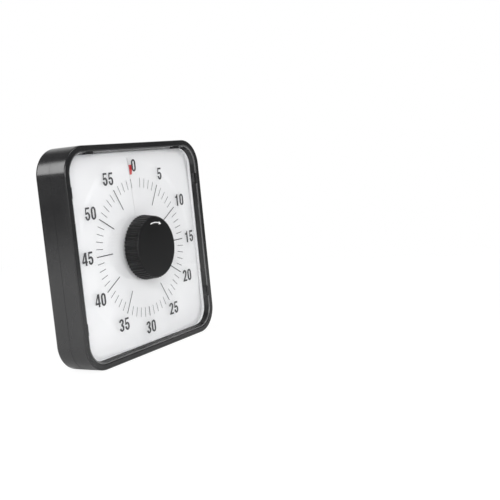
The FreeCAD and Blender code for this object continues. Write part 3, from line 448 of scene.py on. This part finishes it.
def dial_sheet():
    """Sheet on a polar grid.

    Depth is the middle depth plus the step between the lips times one half less the share of a
    turn, faded to nothing between the twist's end and the flat rim.  The last rings spread from
    the circle to the window's outline.
    """
    turns = sheet_turns
    share = np.linspace(0.0, 1.0, turns)
    circles = np.concatenate((np.linspace(dial_hole, twist_end, twist_rings),
                              np.linspace(twist_end, flat_from, closing_rings + 1)[1:]))
    margin = np.arcsin(slit_gap / 2 / circles)[:, None]
    closing = smooth_rise(circles, twist_end, flat_from)[:, None]
    margin = margin * (1.0 - closing)
    angle = margin + (2 * math.pi - 2 * margin) * share[None, :]
    depth = dial_face_y + lip_step * (1.0 - closing) * (0.5 - angle / (2 * math.pi))
    radius = np.repeat(circles[:, None], turns, axis=1)
    outer_angle = np.repeat((2 * math.pi * share)[None, :], flat_rings, axis=0)
    edge = rounded_reach(outer_angle[0] + math.radians(slit_angle), window_half_width + sheet_margin,
                         window_half_height + sheet_margin, window_corner + sheet_margin)
    spread = np.linspace(0.0, 1.0, flat_rings + 1)[1:, None]
    outer_radius = flat_from + (edge[None, :] - flat_from) * spread
    radius = np.vstack((radius, outer_radius))
    angle = np.vstack((angle, outer_angle)) + math.radians(slit_angle)
    depth = np.vstack((depth, np.full_like(outer_radius, dial_face_y)))
    points = np.stack((radius * np.sin(angle), depth, dial_centre_z + radius * np.cos(angle)), axis=-1)
    return points.reshape(-1, 3), grid_faces(len(radius), turns)


def thickened(piece, thickness, offset):
    """Give a sheet its thickness; an offset of -1 grows it against its normals."""
    wall = piece.modifiers.new("thickness", "SOLIDIFY")
    wall.thickness = thickness
    wall.offset = offset
    wall.use_even_offset = True


dial_points, dial_faces = dial_sheet()
dial = mesh_piece("dial_sheet", dial_points, dial_faces)
welded(dial, sheet_seam_reach)
thickened(dial, sheet_thickness, -1.0)
dial_finish = moulded_plastic("dial_white_sheet", dial_white, dial_shade, dial_gloss,
                              dial_grain, dial_grain_depth, dial_specular)
dial.data.materials.append(dial_finish)
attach(dial, "case")
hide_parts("dial")


# Dial frame: the white moulding behind the lens, matt as the sheet.  Its spacer rim presses on
# the lens all round and its ledge carries the sheet.
frame_overlap = 4.0 * MM
frame_corner = 29.0 * MM
spacer_reveal = 0.5 * MM
ledge_radius = 84.4 * MM
ledge_gap = 0.02 * MM
frame_turns = 360
ledge_y = dial_face_y + sheet_thickness + ledge_gap
plate_back_y = plate_high[1]
lens_back_y = lens_high[1]


def dial_frame():
    """Closed section carried round the dial, from the round ledge to the rounded outline."""
    turns = frame_turns
    angle = np.arange(turns) * 2 * math.pi / turns
    inner = np.full(turns, ledge_radius)
    spacer = rounded_reach(angle, window_half_width + spacer_reveal, window_half_height + spacer_reveal,
                           window_corner + spacer_reveal)
    outer = rounded_reach(angle, window_half_width + frame_overlap, window_half_height + frame_overlap,
                          frame_corner)
    loops = ((inner, ledge_y), (spacer, ledge_y), (spacer, lens_back_y), (outer, lens_back_y),
             (outer, plate_back_y), (inner, plate_back_y), (inner, ledge_y))
    rings = []
    for reach, y in loops:
        across = reach * np.sin(angle)
        upward = dial_centre_z + reach * np.cos(angle)
        rings.append(np.stack((across, np.full(turns, y), upward), axis=-1))
    return np.vstack(rings), grid_faces(len(loops), turns, wrap=True)


frame_points, frame_faces = dial_frame()
dial_plate = mesh_piece("dial_frame", frame_points, frame_faces, smooth=False)
welded(dial_plate, seam_reach)
dial_plate.data.materials.append(dial_finish)
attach(dial_plate, "case")
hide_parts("dial_plate")


# Lens: a flat sheet of clear acrylic behind the rim.  Light reaches the dial through it as if it
# were open, and its face shows a faint gloss.
acrylic_tint = (0.98, 0.985, 0.985, 1.0)
acrylic_index = 1.49
wipe_per_metre = 30.0
wipe_gloss = (0.02, 0.05)
lens_finish, nodes, links, glass = new_material("clear_acrylic")
glass.inputs["Base Color"].default_value = acrylic_tint
glass.inputs["Transmission Weight"].default_value = 1.0
glass.inputs["IOR"].default_value = acrylic_index
clear = nodes.new("ShaderNodeBsdfTransparent")
ray = nodes.new("ShaderNodeLightPath")
either = nodes.new("ShaderNodeMath")
either.operation = "MAXIMUM"
passing = nodes.new("ShaderNodeMixShader")
wipe = nodes.new("ShaderNodeTexNoise")
wipe.inputs["Scale"].default_value = wipe_per_metre
wipe_range = nodes.new("ShaderNodeMapRange")
wipe_range.inputs["To Min"].default_value = wipe_gloss[0]
wipe_range.inputs["To Max"].default_value = wipe_gloss[1]
place = nodes.new("ShaderNodeTexCoord")
links.new(place.outputs["Object"], wipe.inputs["Vector"])
links.new(wipe.outputs["Fac"], wipe_range.inputs["Value"])
links.new(wipe_range.outputs["Result"], glass.inputs["Roughness"])
links.new(ray.outputs["Is Shadow Ray"], either.inputs[0])
links.new(ray.outputs["Is Diffuse Ray"], either.inputs[1])
links.new(either.outputs[0], passing.inputs["Fac"])
links.new(glass.outputs[0], passing.inputs[1])
links.new(clear.outputs[0], passing.inputs[2])
links.new(passing.outputs[0], nodes["Material Output"].inputs["Surface"])
finish_node("lens", lens_finish)


# Minute marks, printed in dark grey on the lens: sixty strokes less the one at zero, long at each
# fifth minute except the short, heavy one at thirty.
ink_colour = (0.055, 0.055, 0.058, 1.0)
ink_thin = (0.065, 0.065, 0.068, 1.0)
ink_thickness = 0.03 * MM
mark_outer = 62.4 * MM
mark_inner_short = 53.9 * MM
mark_inner_long = 41.5 * MM
mark_width_short = 0.55 * MM
mark_width_long = 0.9 * MM
lens_face_y = lens_low[1]


def minute_marks():
    """Thin boxes set radially: each corner is the radius along the stroke plus half a width across."""
    minutes = np.arange(1, 60)
    fifth = minutes % 5 == 0
    inner = np.where(fifth & (minutes != 30), mark_inner_long, mark_inner_short)
    half = np.where(fifth, mark_width_long, mark_width_short) / 2
    angle = np.radians(minutes * 6.0)
    along = np.stack((np.sin(angle), np.cos(angle)), axis=-1)
    across = np.stack((np.cos(angle), -np.sin(angle)), axis=-1)
    corners = []
    outer = np.full_like(inner, mark_outer)
    for y in (lens_face_y, lens_face_y - ink_thickness):
        for radius, side in ((inner, -1), (inner, 1), (outer, 1), (outer, -1)):
            flat = along * radius[:, None] + across * (side * half)[:, None]
            level = np.full(len(flat), y)
            corners.append(np.stack((flat[:, 0], level, dial_centre_z + flat[:, 1]), axis=-1))
    points = np.stack(corners, axis=1).reshape(-1, 3)
    sides = np.array([(3, 2, 1, 0), (4, 5, 6, 7), (0, 1, 5, 4),
                      (1, 2, 6, 5), (2, 3, 7, 6), (3, 0, 4, 7)])
    faces = (np.arange(len(minutes))[:, None, None] * 8 + sides[None]).reshape(-1, 4)
    return points, faces


mark_points, mark_faces = minute_marks()
marks = mesh_piece("minute_marks", mark_points, mark_faces, smooth=False)
ink = moulded_plastic("printed_ink", ink_colour, ink_thin, gloss=(0.5, 0.6),
                      scale=700.0, depth=1e-6, specular=0.3)


def without_shadow(material):
    """Let shadow rays through, so that a print on the lens throws none on the dial."""
    nodes = material.node_tree.nodes
    links = material.node_tree.links
    ray = nodes.new("ShaderNodeLightPath")
    open_way = nodes.new("ShaderNodeBsdfTransparent")
    choice = nodes.new("ShaderNodeMixShader")
    links.new(ray.outputs["Is Shadow Ray"], choice.inputs["Fac"])
    links.new(nodes["Principled BSDF"].outputs[0], choice.inputs[1])
    links.new(open_way.outputs[0], choice.inputs[2])
    links.new(choice.outputs[0], nodes["Material Output"].inputs["Surface"])


without_shadow(ink)
marks.data.materials.append(ink)
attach(marks, "case")


# Minute numerals, printed upright round the marks in a bold narrow face: nought to fifty-five by
# fives, clockwise from the top.
numeral_reach_across = 73.9 * MM
numeral_reach_upright = 73.1 * MM
numeral_rise = 0.6 * MM
numeral_height = 11.0 * MM
digit_width = 0.56
upright_stroke = 0.195
level_stroke = 0.15
digit_gap = 0.12
arc_steps = 16


def bow(centre_x, centre_z, radius_x, radius_z, start, end):
    """Points on an ellipse from one angle to another, in degrees against the clock."""
    angle = np.radians(np.linspace(start, end, arc_steps))
    return np.stack((centre_x + radius_x * np.cos(angle), centre_z + radius_z * np.sin(angle)), axis=-1)


def ribbon(line, half_across, half_level):
    """Both sides of a stroke whose half width grows from level to upright directions."""
    step = np.gradient(line, axis=0)
    step /= np.linalg.norm(step, axis=1)[:, None]
    normal = np.stack((-step[:, 1] * half_across, step[:, 0] * half_level), axis=-1)
    return line + normal, line - normal


def figure_nought():
    """Two straight-sided rings with half-ellipse ends."""
    loops = []
    for inset_x, inset_z in ((0.0, 0.0), (upright_stroke, level_stroke)):
        half = digit_width / 2 - inset_x
        end = 0.30 - inset_z
        loops.append(np.vstack((bow(digit_width / 2, 0.70, half, end, 0, 180),
                                bow(digit_width / 2, 0.30, half, end, 180, 360))))
    return loops


def figure_one():
    """Stem with a flag that curves away to the left."""
    right = 0.42
    left = right - upright_stroke
    flag = bow(0.05, 1.0, left + 0.03, 0.19, 0, -90)
    return [np.vstack(((right, 0.0), (right, 1.0), (left + 0.035, 1.0), flag[1:], (0.05, 0.70),
                       (left, 0.70), (left, 0.0)))]


def figure_two():
    """Bowl and slanting stroke in one ribbon, on a level foot."""
    radius_x = (digit_width - upright_stroke) / 2
    top = bow(digit_width / 2, 0.72, radius_x, 0.28 - level_stroke / 2, 180, -20)
    start = top[-1]
    share = np.linspace(0, 1, arc_steps)[1:, None]
    foot = np.array((upright_stroke / 2, level_stroke * 0.6))
    pull = np.array((digit_width * 0.66, 0.40))
    slant = start * (1 - share) ** 2 + pull * 2 * share * (1 - share) + foot * share ** 2
    outer, inner = ribbon(np.vstack((top, slant)), upright_stroke / 2, level_stroke / 2)
    outer = outer[outer[:, 1] > level_stroke]
    inner = inner[(inner[:, 1] > 0.1) & (inner[:, 0] > -0.001)]
    foot_line = ((outer[-1][0], level_stroke), (digit_width, level_stroke), (digit_width, 0.0),
                 (0.0, 0.0), (0.0, 0.1))
    return [np.vstack((outer, foot_line, inner[::-1]))]


def figure_three():
    """Two bowls that meet at a short level bar."""
    middle = 0.525
    bar_end = 0.21
    waist = digit_width / 2 + 0.03
    half = digit_width / 2
    half_in = half - upright_stroke
    upper = bow(half, 0.75, half, 0.25, 180, -62)
    lower = bow(half, 0.275, half, 0.275, 62, -180)
    upper_in = bow(half, 0.75, half_in, 0.25 - level_stroke, -80, 180)
    lower_in = bow(half, 0.275, half_in, 0.275 - level_stroke, -180, 80)
    bar = ((bar_end, middle - level_stroke / 2), (bar_end, middle + level_stroke / 2),
           (waist - 0.04, middle + level_stroke / 2))
    return [np.vstack((upper, lower, lower_in, bar, upper_in))]


def figure_four():
    """Slanted triangle on an upright, with its counter cut out."""
    left = 0.33
    right = left + upright_stroke
    low = 0.20
    high = low + level_stroke
    shape = np.array(((left, 0.0), (right, 0.0), (right, low), (digit_width + 0.02, low),
                      (digit_width + 0.02, high), (right, high), (right, 1.0), (left - 0.04, 1.0),
                      (0.0, high), (0.0, low), (left, low)))
    counter = np.array(((left, high), (left, 0.74), (0.135, high)))
    return [shape, counter]


def figure_five():
    """Flag, upright and bowl in one outline."""
    outer = bow(digit_width / 2, 0.325, digit_width / 2, 0.325, -180, 118)
    inner = bow(digit_width / 2, 0.325, digit_width / 2 - upright_stroke,
                0.325 - level_stroke, 118, -180)
    neck = outer[-1]
    top = ((neck[0] + 0.045, 1.0 - level_stroke), (digit_width - 0.04, 1.0 - level_stroke),
           (digit_width - 0.04, 1.0), (0.075, 1.0), (0.02, 0.455), (upright_stroke - 0.01, 0.455))
    return [np.vstack((outer, top, inner[1:]))]


FIGURES = {"0": figure_nought(), "1": figure_one(), "2": figure_two(), "3": figure_three(),
           "4": figure_four(), "5": figure_five()}


def printed_shape(name, loops):
    """Mesh of filled outlines in the XY plane, as thick as the ink, as arrays of points and faces."""
    curve = bpy.data.curves.new(name, "CURVE")
    curve.dimensions = "2D"
    curve.fill_mode = "BOTH"
    curve.extrude = ink_thickness / 2
    for loop in loops:
        spline = curve.splines.new("POLY")
        spline.points.add(len(loop) - 1)
        flat = np.column_stack((loop, np.zeros(len(loop)), np.ones(len(loop))))
        spline.points.foreach_set("co", flat.ravel())
        spline.use_cyclic_u = True
    holder = bpy.data.objects.new(name, curve)
    mesh = bpy.data.meshes.new_from_object(holder)
    points = np.zeros(len(mesh.vertices) * 3)
    mesh.vertices.foreach_get("co", points)
    faces = [list(polygon.vertices) for polygon in mesh.polygons]
    bpy.data.objects.remove(holder)
    bpy.data.curves.remove(curve)
    bpy.data.meshes.remove(mesh)
    return points.reshape(-1, 3), faces


def set_on_face(points, centre_x, centre_z, face_y):
    """Turn a printed shape upright and stand it on a plane that faces the front."""
    depth = face_y - ink_thickness / 2 - points[:, 2]
    return np.stack((centre_x + points[:, 0], depth, centre_z + points[:, 1]), axis=-1)


def minute_numerals():
    """Every numeral's loops, centred on its place round the dial."""
    all_points = []
    all_faces = []
    count = 0
    for minute in range(0, 60, 5):
        text = str(minute)
        width = len(text) * digit_width + (len(text) - 1) * digit_gap
        angle = math.radians(minute * 6.0)
        for place, letter in enumerate(text):
            left = place * (digit_width + digit_gap) - width / 2
            loops = [(loop + (left, -0.5)) * numeral_height for loop in FIGURES[letter]]
            points, faces = printed_shape("numeral", loops)
            centre_z = dial_centre_z + numeral_rise + numeral_reach_upright * math.cos(angle)
            points = set_on_face(points, numeral_reach_across * math.sin(angle), centre_z, lens_face_y)
            all_points.append(points)
            all_faces += [[index + count for index in face] for face in faces]
            count += len(points)
    return np.vstack(all_points), all_faces


numeral_points, numeral_faces = minute_numerals()
numerals = mesh_piece("minute_numerals", numeral_points, numeral_faces, smooth=False)
welded(numerals, seam_reach)
numerals.data.materials.append(ink)
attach(numerals, "case")


# Red disc and its tab: a thin matt red sheet, slit like the dial, and clamped to the hub that the
# spindle carries.  At zero only the tab, glued on its edge, stands in front of the dial.
disc_red = moulded_plastic("disc_red_sheet", colour=(0.62, 0.012, 0.016, 1.0),
                           scuffed=(0.55, 0.012, 0.015, 1.0), gloss=(0.4, 0.5),
                           scale=1200.0, depth=2e-6)
finish_node("countdown_disc", disc_red)
finish_node("disc_tab", disc_red)


# Knob: a black moulded cap with a ribbed grip, a rounded front edge and a flat face.  It is
# pressed on the spindle and turns the disc.
knob_front_radius = 26.9 * MM
knob_base_radius = 28.6 * MM
knob_round = 0.8 * MM
knob_rib_count = 54
knob_rib_height = 0.6 * MM
knob_rib_share = 0.46
knob_rib_front = 1.3 * MM
knob_rib_start = 0.35
points_per_rib = 16
rib_fall_in = 0.13
rib_fall_out = 0.07
corner_rings = 9
side_rings = 11
centre_hole = 0.02 * MM
face_shares = (0.5, 0.9)
knob_low, knob_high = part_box("knob")


def knob_shell():
    """Closed cap on a polar grid: radius grows with depth, and each rib stands up as a rounded bar.

    A rib's height follows the angle as a smooth step up and down within its share of the pitch, and
    it dies out towards the rounded front edge.
    """
    turns = knob_rib_count * points_per_rib
    angle = np.arange(turns) * 2 * math.pi / turns
    phase = np.abs(((np.arange(turns) / points_per_rib + 0.5) % 1.0) - 0.5)
    bar = 1.0 - smooth_rise(phase, knob_rib_share / 2 - rib_fall_in, knob_rib_share / 2 + rib_fall_out)
    length = knob_high[1] - knob_low[1]
    corner = np.radians(np.linspace(0, 90, corner_rings))
    face = np.array((centre_hole, *(knob_front_radius * share for share in face_shares)))
    depth = np.concatenate((np.zeros(len(face)), knob_round * (1 - np.cos(corner)),
                            np.linspace(knob_round, length, side_rings + 1)[1:]))
    core = knob_front_radius + (knob_base_radius - knob_front_radius) * depth / length
    inset = np.concatenate((np.zeros(len(face)), knob_round * (1 - np.sin(corner)),
                            np.zeros(side_rings)))
    reach = core - inset
    reach[:len(face)] = face
    rise = knob_rib_height * smooth_rise(depth, knob_rib_front * knob_rib_start, knob_rib_front)
    radius = reach[:, None] + rise[:, None] * bar[None, :]
    back = np.array((*(knob_base_radius * share for share in face_shares[::-1]), centre_hole))
    radius = np.vstack((radius, np.repeat(back[:, None], turns, axis=1)))
    depth = np.concatenate((depth, np.full(len(back), length)))
    y = knob_low[1] + np.repeat(depth[:, None], turns, axis=1)
    points = np.stack((radius * np.sin(angle), y, dial_centre_z + radius * np.cos(angle)), axis=-1)
    rows = len(depth)
    faces = grid_faces(rows, turns, wrap=True).tolist()
    faces.append(list(range(turns - 1, -1, -1)))
    faces.append(list(range((rows - 1) * turns, rows * turns)))
    return points.reshape(-1, 3), faces


knob_points, knob_faces = knob_shell()
knob_cap = mesh_piece("knob_cap", knob_points, knob_faces)
knob_black = moulded_plastic("knob_black_plastic", colour=(0.004, 0.004, 0.0045, 1.0),
                             scuffed=(0.006, 0.006, 0.0065, 1.0), gloss=(0.36, 0.44),
                             scale=grain_per_metre, depth=3e-6, specular=0.3)
knob_cap.data.materials.append(knob_black)
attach(knob_cap, "knob")
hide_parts("knob")


# Turning arrow, printed in white on the knob's face: a curved stroke and a solid head, clockwise.
arrow_white = (0.80, 0.80, 0.80, 1.0)
arrow_radius = 21.7 * MM
arrow_width = 0.9 * MM
arrow_start = -15.4
arrow_neck = 17.0
arrow_tip = 26.5
arrow_head_width = 3.1 * MM
arrow_steps = 24


def arrow_outline():
    """Ring sector between two radii, closed by a triangle whose tip lies on the middle circle."""
    angle = np.radians(np.linspace(arrow_start, arrow_neck, arrow_steps))
    line = np.stack((np.sin(angle), np.cos(angle)), axis=-1)
    neck = math.radians(arrow_neck)
    tip = math.radians(arrow_tip)
    across = np.array((math.sin(neck), math.cos(neck)))
    head = (across * (arrow_radius + arrow_head_width / 2),
            np.array((math.sin(tip), math.cos(tip))) * arrow_radius,
            across * (arrow_radius - arrow_head_width / 2))
    return np.vstack((line * (arrow_radius + arrow_width / 2), head,
                      line[::-1] * (arrow_radius - arrow_width / 2)))


arrow_points, arrow_faces = printed_shape("turning_arrow", [arrow_outline()])
arrow_points = set_on_face(arrow_points, 0.0, dial_centre_z, knob_low[1])
arrow = mesh_piece("turning_arrow", arrow_points, arrow_faces, smooth=False)
welded(arrow, seam_reach)
white_ink = moulded_plastic("white_ink", colour=arrow_white, scuffed=(0.72, 0.72, 0.72, 1.0),
                            gloss=(0.45, 0.55), scale=900.0, depth=1e-6, specular=0.3)
arrow.data.materials.append(white_ink)
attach(arrow, "knob")


# Spindle, hub and clamp ring, made in grey acetal.  The knob is pressed on the spindle, and the
# hub and the ring hold the red disc between them.
acetal_grain = 1500.0
acetal_depth = 2e-6
acetal_grey = moulded_plastic("acetal_grey", colour=(0.22, 0.22, 0.225, 1.0),
                              scuffed=(0.26, 0.26, 0.265, 1.0), gloss=(0.35, 0.45),
                              scale=acetal_grain, depth=acetal_depth)
for node in ("spindle", "disc_hub", "disc_clamp"):
    finish_node(node, acetal_grey)


# Movement: a black two-part box on four screws, with wheels in natural acetal.  Its stator and
# coil follow with the metal pieces.
movement_black = moulded_plastic("movement_plastic", colour=(0.03, 0.03, 0.032, 1.0),
                                 scuffed=(0.045, 0.045, 0.047, 1.0), gloss=(0.4, 0.55),
                                 scale=1800.0, depth=4e-6)
acetal_natural = moulded_plastic("acetal_natural", colour=(0.72, 0.70, 0.64, 1.0),
                                 scuffed=(0.66, 0.64, 0.58, 1.0), gloss=(0.35, 0.5),
                                 scale=acetal_grain, depth=acetal_depth)
for node in ("movement_cover", "movement_base"):
    finish_node(node, movement_black)
for node in ("centre_wheel", "second_wheel", "rotor"):
    finish_node(node, acetal_natural)


# Metal pieces: screws, pin, switch shell, contacts and magnets are plated, the stator is bare iron
# and the coil is enamelled copper.  Fine marks of the tool or the winding run along each.
mark_detail = 4.0


def plated_metal(name, colour, dull, gloss, stretch, depth):
    """Metal whose marks are noise stretched along one axis."""
    material, nodes, links, shader = new_material(name)
    place = nodes.new("ShaderNodeTexCoord")
    run = nodes.new("ShaderNodeMapping")
    run.inputs["Scale"].default_value = stretch
    marks = nodes.new("ShaderNodeTexNoise")
    marks.inputs["Scale"].default_value = 1.0
    marks.inputs["Detail"].default_value = mark_detail
    tint = nodes.new("ShaderNodeMix")
    tint.data_type = "RGBA"
    tint.inputs["A"].default_value = colour
    tint.inputs["B"].default_value = dull
    sheen = nodes.new("ShaderNodeMapRange")
    sheen.inputs["To Min"].default_value = gloss[0]
    sheen.inputs["To Max"].default_value = gloss[1]
    bump = nodes.new("ShaderNodeBump")
    bump.inputs["Distance"].default_value = depth
    links.new(place.outputs["Object"], run.inputs["Vector"])
    links.new(run.outputs["Vector"], marks.inputs["Vector"])
    links.new(marks.outputs["Fac"], tint.inputs["Factor"])
    links.new(tint.outputs["Result"], shader.inputs["Base Color"])
    links.new(marks.outputs["Fac"], sheen.inputs["Value"])
    links.new(sheen.outputs["Result"], shader.inputs["Roughness"])
    links.new(marks.outputs["Fac"], bump.inputs["Height"])
    links.new(bump.outputs["Normal"], shader.inputs["Normal"])
    shader.inputs["Metallic"].default_value = 1.0
    return material


screw_zinc = plated_metal("zinc_plate", colour=(0.55, 0.55, 0.57, 1.0), dull=(0.42, 0.42, 0.44, 1.0),
                          gloss=(0.22, 0.38), stretch=(800, 200, 800), depth=2e-6)
bright_nickel = plated_metal("nickel_plate", colour=(0.70, 0.67, 0.61, 1.0),
                             dull=(0.58, 0.56, 0.51, 1.0), gloss=(0.12, 0.28),
                             stretch=(300, 300, 900), depth=1e-6)
soft_iron = plated_metal("soft_iron", colour=(0.35, 0.34, 0.33, 1.0), dull=(0.28, 0.27, 0.26, 1.0),
                         gloss=(0.35, 0.5), stretch=(200, 900, 900), depth=2e-6)
copper = plated_metal("enamelled_copper", colour=(0.62, 0.24, 0.09, 1.0), dull=(0.50, 0.18, 0.06, 1.0),
                      gloss=(0.25, 0.4), stretch=(6000, 60, 60), depth=8e-6)
for node in ("case_screws", "movement_screws", "board_screws", "kickstand_pin", "switch_body"):
    finish_node(node, screw_zinc)
for node in ("magnets", "battery_plate", "battery_spring"):
    finish_node(node, bright_nickel)
finish_node("stator", soft_iron)
finish_node("coil", copper)


# Cell in a plain sleeve, board under its green mask, grey volume slider and black buzzer.
# The cell lies in the bay, the board on two posts, and the buzzer in its ring.
cell_sleeve = moulded_plastic("cell_sleeve", colour=(0.20, 0.22, 0.25, 1.0),
                              scuffed=(0.24, 0.26, 0.29, 1.0), gloss=(0.2, 0.3),
                              scale=800.0, depth=1e-6)
solder_mask = moulded_plastic("solder_mask", colour=(0.012, 0.10, 0.035, 1.0),
                              scuffed=(0.015, 0.13, 0.05, 1.0), gloss=(0.25, 0.4),
                              scale=1200.0, depth=3e-6)
slider_grey = moulded_plastic("slider_grey", colour=(0.09, 0.09, 0.095, 1.0),
                              scuffed=(0.12, 0.12, 0.125, 1.0), gloss=(0.4, 0.5),
                              scale=grain_per_metre, depth=4e-6)
buzzer_black = moulded_plastic("buzzer_black", colour=(0.015, 0.015, 0.016, 1.0),
                               scuffed=(0.02, 0.02, 0.021, 1.0), gloss=(0.45, 0.6),
                               scale=grain_per_metre, depth=4e-6)
finish_node("aa_cell", cell_sleeve)
finish_node("circuit_board", solder_mask)
finish_node("volume_slider", slider_grey)
finish_node("buzzer", buzzer_black)
